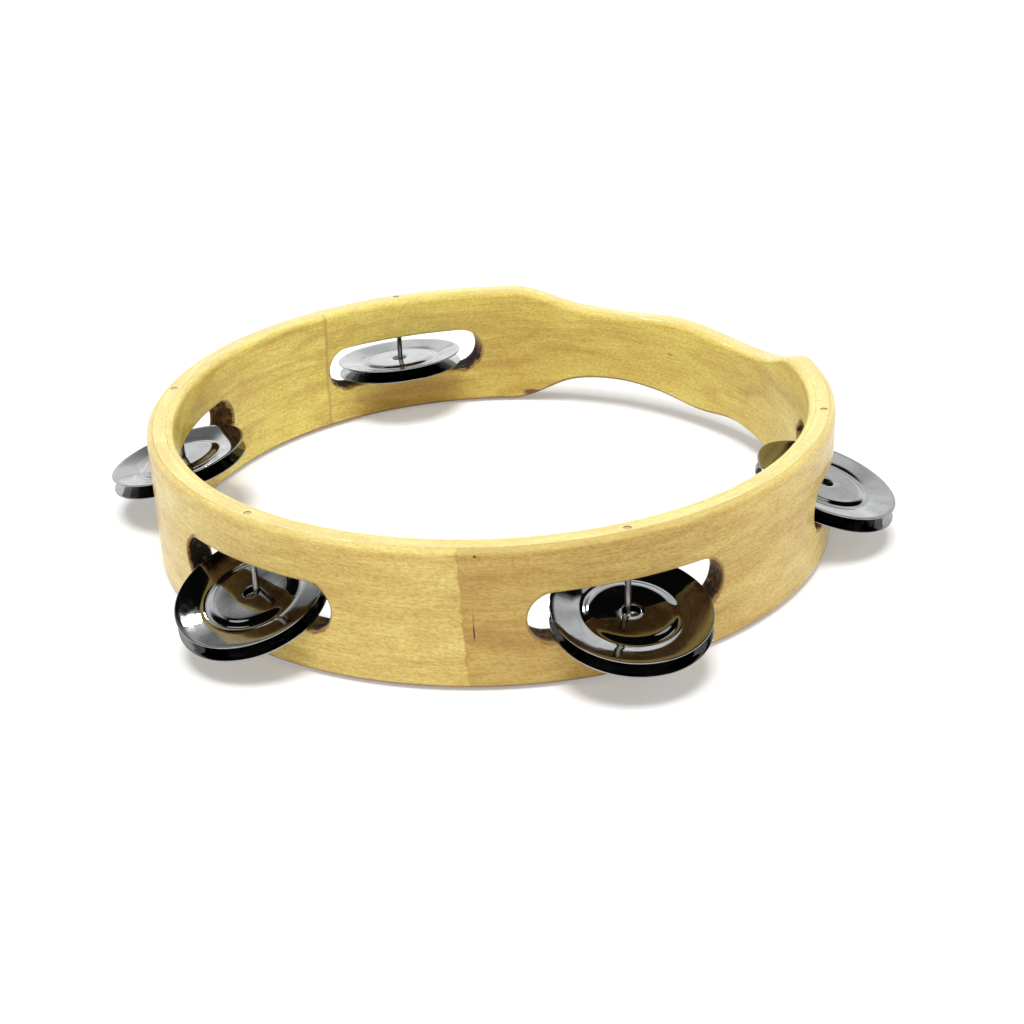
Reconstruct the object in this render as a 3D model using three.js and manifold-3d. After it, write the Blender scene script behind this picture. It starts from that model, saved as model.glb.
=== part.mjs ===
// Tambourine: a hoop of three bent wood plies with a scooped hand grip, and five pairs of
// pressed steel jingles that rattle on nails, each pair in its own slot through the hoop.
//
// Millimetres. The origin is on the hoop's axis, in the plane of its lower edge, and +Z is up.
// Angles are in degrees, counter-clockwise from +X, seen from above.

import * as THREE from "three";
import { mergeVertices } from "three/addons/utils/BufferGeometryUtils.js";
import Module from "manifold-3d";

const wasm = await Module();
wasm.setup();

const { degToRad } = THREE.MathUtils;

// Hoop: an outer and an inner face ply on a core ply, with a glue line between them.
const HOOP_RADIUS = 101.5;
const HOOP_HEIGHT = 40.3;
const OUTER_PLY = 1.7;
const CORE_PLY = 3.65;
const INNER_PLY = 2.2;
const GLUE_LINE = 0.2;
const EDGE_ROUND = 1.6;
const EDGE_ROUND_STEPS = 2;
const HOOP_SEGMENTS = 72;

const OUTER_PLY_INSIDE = HOOP_RADIUS - OUTER_PLY;
const CORE_OUTSIDE = OUTER_PLY_INSIDE - GLUE_LINE;
const CORE_INSIDE = CORE_OUTSIDE - CORE_PLY;
const INNER_PLY_OUTSIDE = CORE_INSIDE - GLUE_LINE;
const HOOP_INSIDE = INNER_PLY_OUTSIDE - INNER_PLY;

// Butt joint of each ply: where its two ends meet, with a hairline gap.
const SEAM_GAP = 0.3;
const OUTER_SEAM = -95.7;
const CORE_SEAM = 195;
const INNER_SEAM = 126.2;

// Hand grip: how far each edge is scooped away, as [angle, depth] along the hoop.
const GRIP_TOP = [[10, 0], [22, 6.2], [33, 7.8], [49, 5.9], [62, 6.9], [72, 5.3], [84, 0]];
const GRIP_BOTTOM = [[12, 0], [24, 5.0], [32, 6.7], [42, 5.5], [53, 8.3], [62, 9.5], [72, 7.9], [85, 0]];

// Jingle slots: a stadium with round ends, cut straight through the hoop.
const SLOT_LENGTH = 55;
const SLOT_BOTTOM = 12.7;
const SLOT_TOP = 27;
const SLOT_CUT_DEPTH = 24;
const SLOT_END_STEPS = 4;

// Nail: driven down through the upper rail, across the slot and into the lower rail.
const NAIL_CIRCLE = 98.1;
const NAIL_RADIUS = 0.9;
const NAIL_HEAD_RADIUS = 1.3;
const NAIL_HEAD_HEIGHT = 0.8;
const NAIL_HEAD_SUNK = 0.4;
const NAIL_TIP = 4;
const NAIL_TIP_LENGTH = 2;
const NAIL_HOLE_CLEARANCE = 0.15;
const NAIL_SEGMENTS = 10;

// Jingle: a pressed disc, dish side up. Its mid-surface as [radius, height above the rim].
const JINGLE_RADIUS = 21.5;
const SHEET = 0.5;
const DISC_DEPTH = 0.9;
const RIDGE_DEPTH = 1.8;
const JINGLE_SECTION = [
  [2.7, -DISC_DEPTH],
  [11.0, -DISC_DEPTH],
  [13.0, -RIDGE_DEPTH],
  [15.0, -1.2],
  [20.4, -0.1],
  [JINGLE_RADIUS, 0],
];
const RIDGE_GAP = 0.1;
const REST_GAP = 0.2;
const JINGLE_SEGMENTS = 24;
const RIM_PITCH = 2 * RIDGE_DEPTH + SHEET + RIDGE_GAP;

// Each pair as it lies at rest: the angle of its nail, how far it leans outward and rolls along the
// hoop, and how far its jingles have slipped outward and along the hoop.
const PAIRS = [
  { name: "right", angle: -13.2, lean: 18.7, roll: 0, out: 1.45, along: 0 },
  { name: "front_right", angle: -70.4, lean: 12.3, roll: -0.4, out: 1.45, along: 0.3 },
  { name: "front_left", angle: -131.2, lean: 19.5, roll: 0, out: 1.4, along: -0.4 },
  { name: "left", angle: 170.3, lean: 13.2, roll: 0, out: 1.45, along: 0 },
  { name: "back", angle: 108.4, lean: 7.5, roll: -1.7, out: 1.45, along: 0 },
];

const MAPLE = new THREE.MeshStandardMaterial({ color: 0xd9b978, roughness: 0.45, metalness: 0 });
const CORE_WOOD = new THREE.MeshStandardMaterial({ color: 0xcfae6e, roughness: 0.5, metalness: 0 });
const NAIL_STEEL = new THREE.MeshStandardMaterial({ color: 0x9a9a9c, roughness: 0.35, metalness: 1 });
const JINGLE_STEEL = new THREE.MeshStandardMaterial({ color: 0x8d8f94, roughness: 0.12, metalness: 1 });

// Leaves only the positions, with shared vertices merged, so that a closed surface is closed.
function positionsOnly(geometry) {
  geometry.deleteAttribute("normal");
  geometry.deleteAttribute("uv");
  return mergeVertices(geometry, 1e-4);
}

function solidOf(geometry) {
  const merged = positionsOnly(geometry);
  return new wasm.Manifold(
    new wasm.Mesh({
      numProp: 3,
      vertProperties: merged.attributes.position.array,
      triVerts: new Uint32Array(merged.index.array),
    }),
  );
}

function geometryOf(solid) {
  const mesh = solid.getMesh();
  const geometry = new THREE.BufferGeometry();
  geometry.setAttribute("position", new THREE.BufferAttribute(mesh.vertProperties, 3));
  geometry.setIndex(new THREE.BufferAttribute(mesh.triVerts, 1));
  geometry.computeVertexNormals();
  return geometry;
}

// Turns a section of [radius, height] points round the Z axis. A ring's section closes on itself.
function turned(section, segments) {
  const points = section.map(([radius, height]) => new THREE.Vector2(radius, height));
  return new THREE.LatheGeometry(points, segments).rotateX(Math.PI / 2);
}

function closed(section) {
  return [...section, section[0]];
}

// A smooth curve through a few points, flat at both ends and zero beyond them.
function smoothThrough(points, x) {
  const last = points.length - 1;
  const next = points.findIndex(([px]) => px > x);
  if (next < 1) return 0;
  const slope = (i) =>
    i === 0 || i === last
      ? 0
      : (points[i + 1][1] - points[i - 1][1]) / (points[i + 1][0] - points[i - 1][0]);
  const [x0, y0] = points[next - 1];
  const [x1, y1] = points[next];
  const span = x1 - x0;
  const t = (x - x0) / span;
  return (
    y0 * (1 + 2 * t) * (1 - t) ** 2 +
    y1 * t * t * (3 - 2 * t) +
    span * t * (1 - t) * (slope(next - 1) * (1 - t) - slope(next) * t)
  );
}

// Moves a ply's upper and lower edges to the scooped outline of the hand grip.
function scoopGrip(geometry) {
  const position = geometry.attributes.position;
  for (let i = 0; i < position.count; i++) {
    const angle = THREE.MathUtils.radToDeg(Math.atan2(position.getY(i), position.getX(i)));
    const z = position.getZ(i);
    const moved =
      z > HOOP_HEIGHT / 2 ? z - smoothThrough(GRIP_TOP, angle) : z + smoothThrough(GRIP_BOTTOM, angle);
    position.setZ(i, moved);
  }
  return geometry;
}

// A ply's section between two radii. Its corners at roundRadius are rounded over.
function plySection(inside, outside, roundRadius) {
  const corner = (radius, height, inward, downward) => {
    if (radius !== roundRadius) return [[radius, height]];
    return Array.from({ length: EDGE_ROUND_STEPS + 1 }, (_, i) => {
      const turn = degToRad((90 * i) / EDGE_ROUND_STEPS);
      return [
        radius + inward * EDGE_ROUND * (1 - Math.cos(turn)),
        height + downward * EDGE_ROUND * (1 - Math.sin(turn)),
      ];
    });
  };
  return closed([
    ...corner(outside, HOOP_HEIGHT, -1, -1),
    ...corner(inside, HOOP_HEIGHT, 1, -1).reverse(),
    ...corner(inside, 0, 1, 1),
    ...corner(outside, 0, -1, 1).reverse(),
  ]);
}

// A straight stadium prism through the hoop at the given angle.
function slotCutter(angle) {
  const radius = (SLOT_TOP - SLOT_BOTTOM) / 2;
  const reach = SLOT_LENGTH / 2 - radius;
  const outline = new THREE.Shape();
  outline.absarc(reach, 0, radius, -Math.PI / 2, Math.PI / 2);
  outline.absarc(-reach, 0, radius, Math.PI / 2, (3 * Math.PI) / 2);
  const prism = new THREE.ExtrudeGeometry(outline, {
    depth: SLOT_CUT_DEPTH,
    curveSegments: SLOT_END_STEPS,
    bevelEnabled: false,
  });
  prism.translate(0, 0, NAIL_CIRCLE - SLOT_CUT_DEPTH / 2);
  prism.rotateX(Math.PI / 2);
  prism.rotateZ(degToRad(angle + 90));
  prism.translate(0, 0, (SLOT_TOP + SLOT_BOTTOM) / 2);
  return solidOf(prism);
}

// A thin radial slit at a ply's butt joint.
function seamCutter(angle) {
  const slit = new THREE.BoxGeometry(SLOT_CUT_DEPTH, SEAM_GAP, 2 * HOOP_HEIGHT + 1);
  slit.translate(NAIL_CIRCLE, 0, 0);
  slit.rotateZ(degToRad(angle));
  return solidOf(slit);
}

// An upright hole between two heights on the nail circle.
function uprightHole(angle, radius, low, high) {
  const hole = new THREE.CylinderGeometry(radius, radius, high - low, NAIL_SEGMENTS);
  hole.rotateX(Math.PI / 2);
  hole.translate(NAIL_CIRCLE, 0, (high + low) / 2);
  hole.rotateZ(degToRad(angle));
  return solidOf(hole);
}

function nailHoles(angle) {
  const headSeat = HOOP_HEIGHT - NAIL_HEAD_SUNK - NAIL_HEAD_HEIGHT - NAIL_HOLE_CLEARANCE;
  return [
    uprightHole(angle, NAIL_RADIUS + NAIL_HOLE_CLEARANCE, NAIL_TIP - NAIL_HOLE_CLEARANCE, HOOP_HEIGHT + 1),
    uprightHole(angle, NAIL_HEAD_RADIUS + NAIL_HOLE_CLEARANCE, headSeat, HOOP_HEIGHT + 1),
  ];
}

function ply(name, { inside, outside, roundRadius, seam, cutters, material }) {
  let solid = solidOf(scoopGrip(turned(plySection(inside, outside, roundRadius), HOOP_SEGMENTS)));
  for (const cutter of [seamCutter(seam), ...cutters]) solid = solid.subtract(cutter);
  const mesh = new THREE.Mesh(geometryOf(solid), material);
  mesh.name = name;
  return mesh;
}

function nail(name) {
  const headTop = HOOP_HEIGHT - NAIL_HEAD_SUNK;
  const headBottom = headTop - NAIL_HEAD_HEIGHT;
  const section = [
    [0, NAIL_TIP],
    [NAIL_RADIUS, NAIL_TIP + NAIL_TIP_LENGTH],
    [NAIL_RADIUS, headBottom],
    [NAIL_HEAD_RADIUS, headBottom],
    [NAIL_HEAD_RADIUS, headTop],
    [0, headTop],
  ];
  const mesh = new THREE.Mesh(turned(section, NAIL_SEGMENTS), NAIL_STEEL);
  mesh.name = name;
  return mesh;
}

// A jingle of sheet steel. Facing 1 is dish side up, and -1 is the same pressing turned over.
function jingle(name, facing) {
  const face = (side) => JINGLE_SECTION.map(([r, z]) => [r, facing * z + (side * SHEET) / 2]);
  const section = closed([...face(-1), ...face(1).reverse()]);
  const mesh = new THREE.Mesh(turned(section, JINGLE_SEGMENTS), JINGLE_STEEL);
  mesh.name = name;
  return mesh;
}

// A nail with its two jingles. The lower rim leans on the outer edge of the slot's floor, and the
// upper jingle's ridge lies on the lower one's. Each hangs round the nail where its hole meets it.
function station({ name, angle, lean, roll, out, along }) {
  const group = new THREE.Group();
  group.rotation.z = degToRad(angle);

  const pin = nail(`pin_${name}`);
  pin.position.x = NAIL_CIRCLE;
  group.add(pin);

  const stretch = 1 / Math.cos(degToRad(lean));
  const fallToOuterEdge = (HOOP_RADIUS - NAIL_CIRCLE) * Math.tan(degToRad(lean));
  const fallAlongHoop = JINGLE_RADIUS * Math.tan(degToRad(Math.abs(roll)));
  const lowerRim = SLOT_BOTTOM + REST_GAP + (SHEET / 2) * stretch + fallToOuterEdge + fallAlongHoop;
  for (const [level, facing, aboveLowerRim] of [
    ["lower", -1, DISC_DEPTH],
    ["upper", 1, RIM_PITCH - DISC_DEPTH],
  ]) {
    const tilted = new THREE.Group();
    tilted.position.set(NAIL_CIRCLE, 0, lowerRim + aboveLowerRim * stretch);
    tilted.rotation.set(degToRad(roll), degToRad(lean), 0);
    const mesh = jingle(`jingle_${name}_${level}`, facing);
    mesh.position.set(out, along, facing * DISC_DEPTH);
    tilted.add(mesh);
    group.add(tilted);
  }
  return group;
}

const slots = PAIRS.map(({ angle }) => slotCutter(angle));
const nails = PAIRS.flatMap(({ angle }) => nailHoles(angle));

const tambourine = new THREE.Group();
tambourine.add(
  ply("frame_outer_ply", {
    inside: OUTER_PLY_INSIDE,
    outside: HOOP_RADIUS,
    roundRadius: HOOP_RADIUS,
    seam: OUTER_SEAM,
    cutters: slots,
    material: MAPLE,
  }),
  ply("frame_core_ply", {
    inside: CORE_INSIDE,
    outside: CORE_OUTSIDE,
    roundRadius: null,
    seam: CORE_SEAM,
    cutters: [...slots, ...nails],
    material: CORE_WOOD,
  }),
  ply("frame_inner_ply", {
    inside: HOOP_INSIDE,
    outside: INNER_PLY_OUTSIDE,
    roundRadius: HOOP_INSIDE,
    seam: INNER_SEAM,
    cutters: slots,
    material: MAPLE,
  }),
  ...PAIRS.map(station),
);

export default tambourine;
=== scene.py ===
import math

import bmesh
import bpy
from mathutils import Matrix, Vector, noise


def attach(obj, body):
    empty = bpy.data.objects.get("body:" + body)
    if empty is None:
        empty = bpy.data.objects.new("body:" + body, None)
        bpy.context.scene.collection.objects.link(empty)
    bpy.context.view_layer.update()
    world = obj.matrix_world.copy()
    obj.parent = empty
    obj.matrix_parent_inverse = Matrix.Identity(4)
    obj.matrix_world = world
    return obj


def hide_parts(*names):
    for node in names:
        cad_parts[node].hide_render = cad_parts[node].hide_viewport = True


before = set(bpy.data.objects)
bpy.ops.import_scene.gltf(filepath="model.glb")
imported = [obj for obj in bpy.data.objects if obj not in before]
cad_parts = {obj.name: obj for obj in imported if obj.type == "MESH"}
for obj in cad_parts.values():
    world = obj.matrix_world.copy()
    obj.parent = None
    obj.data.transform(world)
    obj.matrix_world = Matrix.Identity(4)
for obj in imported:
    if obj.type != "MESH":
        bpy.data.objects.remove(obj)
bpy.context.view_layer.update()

# Shapes are worked out in millimetres and degrees, then scaled to metres.
MM = 0.001

# The hoop: three bent plies, outer, core and inner, meeting at two glue lines.
HOOP_RADIUS = 101.5
HOOP_INSIDE = 93.55
HOOP_HEIGHT = 40.3
EDGE_ROUND = 2.1
OUTER_GLUE = 99.7
INNER_GLUE = 95.85
GLUE_WIDTH = 0.06
COLUMN_STEP = 1.2
PLY_LENGTH = 2 * math.pi * HOOP_RADIUS
ROUNDING_TURNS = (90, 78, 66, 54, 42, 30, 15, 0)

# A slot lower than this is closed: its floor and ceiling share their points.
NO_RISE = 1e-6

# A ply's two materials, by their place on the piece.
PLY_FACE = 0
SLOT_WALL = 1

# Butt joint of each ply, and how far its line leans at the lower and the upper edge, in degrees.
# The lean fades out over the blend's angle. The edges are the heights below and above these.
SEAM_WIDTH = 0.02
SEAM_BLEND = 4.0
LOW_EDGE = 5
HIGH_EDGE = 35
OUTER_SEAM = {"angle": -95.4, "lean_low": 0.5, "lean_high": -0.25}
CORE_SEAM = {"angle": 195.0, "lean_low": 0.0, "lean_high": 0.0}
INNER_SEAM = {"angle": 126.2, "lean_low": 0.12, "lean_high": -0.6}

# The hand grip's scoops out of the upper and the lower edge, as (angle, depth).
GRIP_TOP = ((10, 0), (22, 6.2), (33, 7.8), (49, 5.9), (62, 6.9), (72, 5.3), (84, 0))
GRIP_BOTTOM = (
    (12, 0), (24, 5.0), (32, 6.7), (42, 5.5), (53, 8.3), (62, 9.5), (72, 7.9), (85, 0),
)

# The jingle slots: round-ended, with edges eased by a little sanding.
SLOT_LENGTH = 55.0
SLOT_BOTTOM = 12.7
SLOT_TOP = 27.0
SLOT_EASE = 0.5
SLOT_ARC_STEPS = 9
SLOT_STRAIGHT_STEPS = 20
SLOT_MIDDLE = (SLOT_BOTTOM + SLOT_TOP) / 2
SLOT_RADIUS = (SLOT_TOP - SLOT_BOTTOM) / 2
SLOT_REACH = SLOT_LENGTH / 2 - SLOT_RADIUS

# The nails.
NAIL_CIRCLE = 98.1
NAIL_RADIUS = 0.85
NAIL_HEAD_RADIUS = 1.0
NAIL_TIP = 4.0
NAIL_HEAD_BOTTOM = 39.1
NAIL_HEAD_TOP = 40.16
NAIL_HOLE_RADIUS = 0.95
NAIL_SEAT_RADIUS = 1.04
NAIL_FACETS = 28

# The jingles, as (radius, height above the rim) of the sheet's middle, dish side up.
JINGLE_SECTION = (
    (2.62, -1.10), (4.2, -0.98), (7.5, -0.92), (10.9, -0.9),
    (12.9, -1.84), (14.9, -1.22), (20.2, -0.12), (21.12, -0.02),
)
JINGLE_FILLET = 1.0
SHEET = 0.46
CAD_SHEET = 0.5
DISC_DEPTH = 0.9
RIM_PITCH = 4.2
REST_GAP = 0.2
JINGLE_RADIUS = 21.5
JINGLE_SEGMENTS = 120

# The flange's waviness: where it starts, over what width it grows, and its size.
FLANGE_START = 15.5
WAVE_GROWTH = 5.0
WAVE_LENGTH = 11
WAVE_HEIGHT = 0.09

# How burnt a slot's straight walls are, and over what height and length that turns into its ends.
SILL_BURN = 0.3
BURN_RISE = 5.0
BURN_RUN = 6.0

# Each pair at rest: its nail's angle, how its jingles lean and roll, and how far they have slipped.
# Its burn is how burnt the slot's ends are, in their lower and in their upper half.
PAIRS = (
    {
        "name": "right", "angle": -13.2, "lean": 18.7, "roll": 0.0,
        "out": 1.45, "along": 0.0, "burn": (0.75, 0.75),
    },
    {
        "name": "front_right", "angle": -70.4, "lean": 12.3, "roll": -0.4,
        "out": 1.45, "along": 0.3, "burn": (0.80, 0.62),
    },
    {
        "name": "front_left", "angle": -131.2, "lean": 19.5, "roll": 0.0,
        "out": 1.4, "along": -0.4, "burn": (1.0, 1.0),
    },
    {
        "name": "left", "angle": 170.3, "lean": 13.2, "roll": 0.0,
        "out": 1.45, "along": 0.0, "burn": (0.7, 0.7),
    },
    {
        "name": "back", "angle": 108.4, "lean": 7.5, "roll": -1.7,
        "out": 1.45, "along": 0.0, "burn": (0.95, 0.08),
    },
)


# ---------------------------------------------------------------- shader graphs


class Graph:
    """A material's node tree, built with short calls that return sockets."""

    def __init__(self, tree):
        self.tree = tree

    def node(self, kind, **settings):
        made = self.tree.nodes.new(kind)
        for key, value in settings.items():
            setattr(made, key, value)
        return made

    def feed(self, socket, value):
        if isinstance(value, bpy.types.NodeSocket):
            self.tree.links.new(value, socket)
        else:
            socket.default_value = value

    def attribute(self, name, output="Vector"):
        return self.node("ShaderNodeAttribute", attribute_name=name).outputs[output]

    def cells(self, vector, *millimetres):
        """The vector scaled so that one unit is the given number of millimetres each way."""
        made = self.node("ShaderNodeVectorMath", operation="MULTIPLY")
        self.feed(made.inputs[0], vector)
        made.inputs[1].default_value = [1 / (size * MM) for size in millimetres]
        return made.outputs[0]

    def split(self, vector):
        made = self.node("ShaderNodeSeparateXYZ")
        self.feed(made.inputs[0], vector)
        return made.outputs

    def join(self, x, y, z):
        made = self.node("ShaderNodeCombineXYZ")
        for socket, value in zip(made.inputs, (x, y, z)):
            self.feed(socket, value)
        return made.outputs[0]

    def maths(self, operation, a, b=0.0):
        made = self.node("ShaderNodeMath", operation=operation)
        self.feed(made.inputs[0], a)
        self.feed(made.inputs[1], b)
        return made.outputs[0]

    def noise(self, vector, detail=3.0, roughness=0.5, distortion=0.0):
        made = self.node("ShaderNodeTexNoise")
        self.feed(made.inputs["Vector"], vector)
        made.inputs["Scale"].default_value = 1.0
        made.inputs["Detail"].default_value = detail
        made.inputs["Roughness"].default_value = roughness
        made.inputs["Distortion"].default_value = distortion
        return made.outputs[0]

    def remap(self, value, low, high, to_low=0.0, to_high=1.0):
        made = self.node("ShaderNodeMapRange", interpolation_type="SMOOTHSTEP")
        self.feed(made.inputs["Value"], value)
        made.inputs["From Min"].default_value = low
        made.inputs["From Max"].default_value = high
        made.inputs["To Min"].default_value = to_low
        made.inputs["To Max"].default_value = to_high
        return made.outputs[0]

    def ramp(self, value, stops):
        made = self.node("ShaderNodeValToRGB")
        self.feed(made.inputs[0], value)
        elements = made.color_ramp.elements
        while len(elements) < len(stops):
            elements.new(0.5)
        for element, (position, colour) in zip(elements, stops):
            element.position = position
            element.color = (*colour, 1)
        return made.outputs[0]

    def mix(self, factor, a, b, blend="MIX"):
        made = self.node("ShaderNodeMix", data_type="RGBA", blend_type=blend)
        self.feed(made.inputs[0], factor)
        for socket, value in ((made.inputs[6], a), (made.inputs[7], b)):
            self.feed(socket, value if isinstance(value, bpy.types.NodeSocket) else (*value, 1))
        return made.outputs[2]

    def bump(self, height, depth_mm):
        made = self.node("ShaderNodeBump")
        self.feed(made.inputs["Height"], height)
        made.inputs["Distance"].default_value = depth_mm * MM
        made.inputs["Strength"].default_value = 1.0
        return made.outputs[0]


def new_material(name):
    """A material with its Principled shader, and the graph to build on."""
    made = bpy.data.materials.new(name)
    made.use_nodes = True
    return made, made.node_tree.nodes["Principled BSDF"], Graph(made.node_tree)


# ---------------------------------------------------------------- wood


def off_centre(graph, grain, around_mm, height_mm, width_mm, tall_mm):
    """How far from an oval's middle a point of the wood is: 0 at its middle and 1 on its outline."""
    moved = graph.node("ShaderNodeVectorMath", operation="SUBTRACT")
    graph.feed(moved.inputs[0], grain)
    moved.inputs[1].default_value = (around_mm * MM, height_mm * MM, 0)
    flat = graph.node("ShaderNodeVectorMath", operation="MULTIPLY")
    graph.feed(flat.inputs[0], moved.outputs[0])
    flat.inputs[1].default_value = (2 / (width_mm * MM), 2 / (tall_mm * MM), 0)
    distance = graph.node("ShaderNodeVectorMath", operation="LENGTH")
    graph.feed(distance.inputs[0], flat.outputs[0])
    return distance.outputs["Value"]


def spot(graph, grain, *oval):
    """A small ragged mark on the wood, 1 at its middle and 0 outside it."""
    wobble = graph.noise(graph.cells(grain, 0.6, 0.6, 0.6), detail=2)
    uneven = graph.maths("MULTIPLY", wobble, 0.5)
    ragged = graph.maths("ADD", off_centre(graph, grain, *oval), uneven)
    return graph.remap(ragged, 0.75, 1.4, 1.0, 0.0)


def painted_shade(graph, grain, mottle, *oval):
    """A broad area of painted shade on the wood, fading out unevenly."""
    uneven = graph.maths("SUBTRACT", mottle, 0.5)
    faded = graph.maths("ADD", off_centre(graph, grain, *oval), uneven)
    return graph.remap(faded, 0.35, 1.2, 1.0, 0.0)


def beyond_seam(graph, grain, mottle):
    """The tanner, coarser end of the outer ply: full at its seam, fading out along the hoop."""
    along, height, radius = graph.split(grain)
    ragged = graph.maths("ADD", along, graph.maths("MULTIPLY", mottle, 0.02))
    fading = graph.remap(ragged, 0.0, 0.165, 1.0, 0.0)
    waves = graph.noise(graph.cells(graph.join(0.0, height, 0.0), 1, 5, 1), detail=2)
    reach = graph.maths("ADD", along, graph.maths("MULTIPLY", waves, 0.0036))
    whole = PLY_LENGTH * MM
    lapped = graph.remap(reach, whole + 0.0012, whole + 0.0019, 0.0, 0.9)
    return graph.maths("MAXIMUM", fading, lapped)


def painted_underside_shadow(graph):
    """Painted shadow on the hoop's underside: darker the more the surface faces down."""
    normal = graph.node("ShaderNodeNewGeometry").outputs["Normal"]
    down = graph.maths("MULTIPLY", graph.split(normal)[2], -1.0)
    return graph.remap(down, 0.20, 0.42, 0.0, 0.85)


def sanded_top_and_painted_light(graph):
    """The hoop's top edge and its roundings, paler the more they face up: partly sanded, partly
    painted light from above.
    """
    normal = graph.node("ShaderNodeNewGeometry").outputs["Normal"]
    return graph.remap(graph.split(normal)[2], 0.10, 0.75, 0.0, 0.26)


def scorched_lip(graph, mottle):
    """The ragged brown edge that the cutter burnt into the face round the slots' ends."""
    uneven = graph.maths("MULTIPLY", graph.maths("SUBTRACT", mottle, 0.5), 0.003)
    from_slot = graph.maths("ADD", graph.attribute("from_slot", "Fac"), uneven)
    near = graph.remap(from_slot, -0.0001, 0.0009, 1.0, 0.0)
    burnt = graph.remap(graph.attribute("burn", "Fac"), 0.35, 0.9, 0.0, 0.9)
    return graph.maths("MULTIPLY", near, burnt)


def wood_figure(graph, grain, tones):
    """Broad soft figure in three tones of the wood."""
    dark, middle, pale = tones
    figure = graph.noise(graph.cells(grain, 36, 9, 6), detail=4, roughness=0.55, distortion=0.9)
    return graph.ramp(figure, ((0.34, dark), (0.5, middle), (0.66, pale)))


def wood_bands(graph, grain, colour, depth):
    """Long warm bands along the bend."""
    vector = graph.cells(grain, 62, 3.0, 3.0)
    bands = graph.noise(vector, detail=3, roughness=0.6, distortion=0.5)
    share = graph.remap(bands, 0.52, 0.68, 0.0, 0.42 * depth)
    return graph.mix(share, colour, (0.74, 0.46, 0.11))


def wood_pores(graph, grain, colour, depth):
    """Short slanting pores, and a few dark flecks."""
    along, height, radius = graph.split(grain)
    shifted = graph.maths("ADD", along, graph.maths("MULTIPLY", height, 0.8))
    slanted = graph.join(shifted, height, radius)
    pores = graph.noise(graph.cells(slanted, 1.3, 0.6, 0.6), detail=4, roughness=0.75)
    share = graph.remap(pores, 0.42, 0.62, 0.0, 0.50 * depth)
    colour = graph.mix(share, colour, (0.66, 0.46, 0.26), "MULTIPLY")
    flecks = graph.noise(graph.cells(grain, 2.6, 0.5, 0.5), detail=2, roughness=0.45)
    return graph.mix(graph.remap(flecks, 0.66, 0.78, 0.0, 0.4), colour, (0.40, 0.22, 0.07))


def seam_shadow(graph, grain, colour, strength):
    """The thin brown line of a ply's butt joint."""
    along = graph.split(grain)[0]
    to_seam = graph.maths("MINIMUM", along, graph.maths("SUBTRACT", PLY_LENGTH * MM, along))
    line = graph.remap(to_seam, 0.0001, 0.0011, strength, 0.0)
    return graph.mix(line, colour, (0.42, 0.24, 0.09))


def wood_relief(graph, grain, streaks, coarse):
    """The lacquered wood's ripple and pebble, rougher where the ply is coarse."""
    ripple = graph.noise(graph.cells(grain, 6.0, 3.0, 3.0), detail=2)
    pebble = graph.noise(graph.cells(grain, 1.0, 0.8, 0.8), detail=3, roughness=0.6)
    raised = graph.maths("ADD", graph.maths("MULTIPLY", coarse, 2.4), 1.2)
    streaked = graph.maths("MULTIPLY", streaks, 0.3)
    relief = graph.maths("ADD", streaked, graph.maths("MULTIPLY", pebble, raised))
    relief = graph.maths("ADD", relief, graph.maths("MULTIPLY", ripple, 1.6))
    return graph.bump(relief, 0.08)


def maple(name, tones, marks=(), stains_and_painted_shade=(), seam_tan=0.0, seam_line=0.0, depth=1.0):
    """Pale lacquered maple: broad figure, short streaks along the bend, pores, flecks and marks;
    upward faces paler, partly sanding and partly painted light; painted shadow on downward faces and
    in broad patches.

    depth scales how strongly the grain shows. seam_tan and seam_line are 0 for a ply without them.
    """
    material, shader, graph = new_material(name)
    grain = graph.attribute("grain")
    colour = wood_figure(graph, grain, tones)
    colour = wood_bands(graph, grain, colour, depth)
    streaks = graph.noise(graph.cells(grain, 9, 0.6, 0.6), detail=5, roughness=0.66)
    share = graph.remap(streaks, 0.36, 0.66, 0.0, 0.26 * depth)
    colour = graph.mix(share, colour, (0.60, 0.42, 0.20), "MULTIPLY")
    mottle = graph.noise(graph.cells(grain, 5.0, 3.0, 3.0), detail=5, roughness=0.65)
    share = graph.remap(mottle, 0.35, 0.68, 0.0, 0.30 * depth)
    colour = graph.mix(share, colour, (0.78, 0.62, 0.40), "MULTIPLY")
    colour = wood_pores(graph, grain, colour, depth)
    coarse = 0.0
    if seam_tan:
        coarse = beyond_seam(graph, grain, mottle)
        tan = graph.maths("MULTIPLY", coarse, seam_tan)
        colour = graph.mix(tan, colour, (0.70, 0.58, 0.45), "MULTIPLY")
    if seam_line:
        colour = seam_shadow(graph, grain, colour, seam_line)
    # Painted shade: broad patches of the wood mixed darker.
    for *oval, strength in stains_and_painted_shade:
        share = graph.maths("MULTIPLY", painted_shade(graph, grain, mottle, *oval), strength)
        colour = graph.mix(share, colour, (0.58, 0.44, 0.26), "MULTIPLY")
    # Upward faces mixed paler: partly sanding, partly painted light from above.
    colour = graph.mix(sanded_top_and_painted_light(graph), colour, (0.97, 0.88, 0.40))
    colour = graph.mix(scorched_lip(graph, mottle), colour, (0.09, 0.04, 0.014))
    # Painted shadow: faces turned down are mixed towards dark brown.
    colour = graph.mix(painted_underside_shadow(graph), colour, (0.20, 0.11, 0.045))
    for *oval, strength, tone in marks:
        share = graph.maths("MULTIPLY", spot(graph, grain, *oval), strength)
        colour = graph.mix(share, colour, tone)
    graph.feed(shader.inputs["Base Color"], colour)
    graph.feed(shader.inputs["Roughness"], graph.remap(streaks, 0.3, 0.7, 0.36, 0.50))
    shader.inputs["Specular IOR Level"].default_value = 0.25
    shader.inputs["Coat Weight"].default_value = 0.35
    shader.inputs["Coat Roughness"].default_value = 0.07
    graph.feed(shader.inputs["Normal"], wood_relief(graph, grain, streaks, coarse))
    return material


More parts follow.
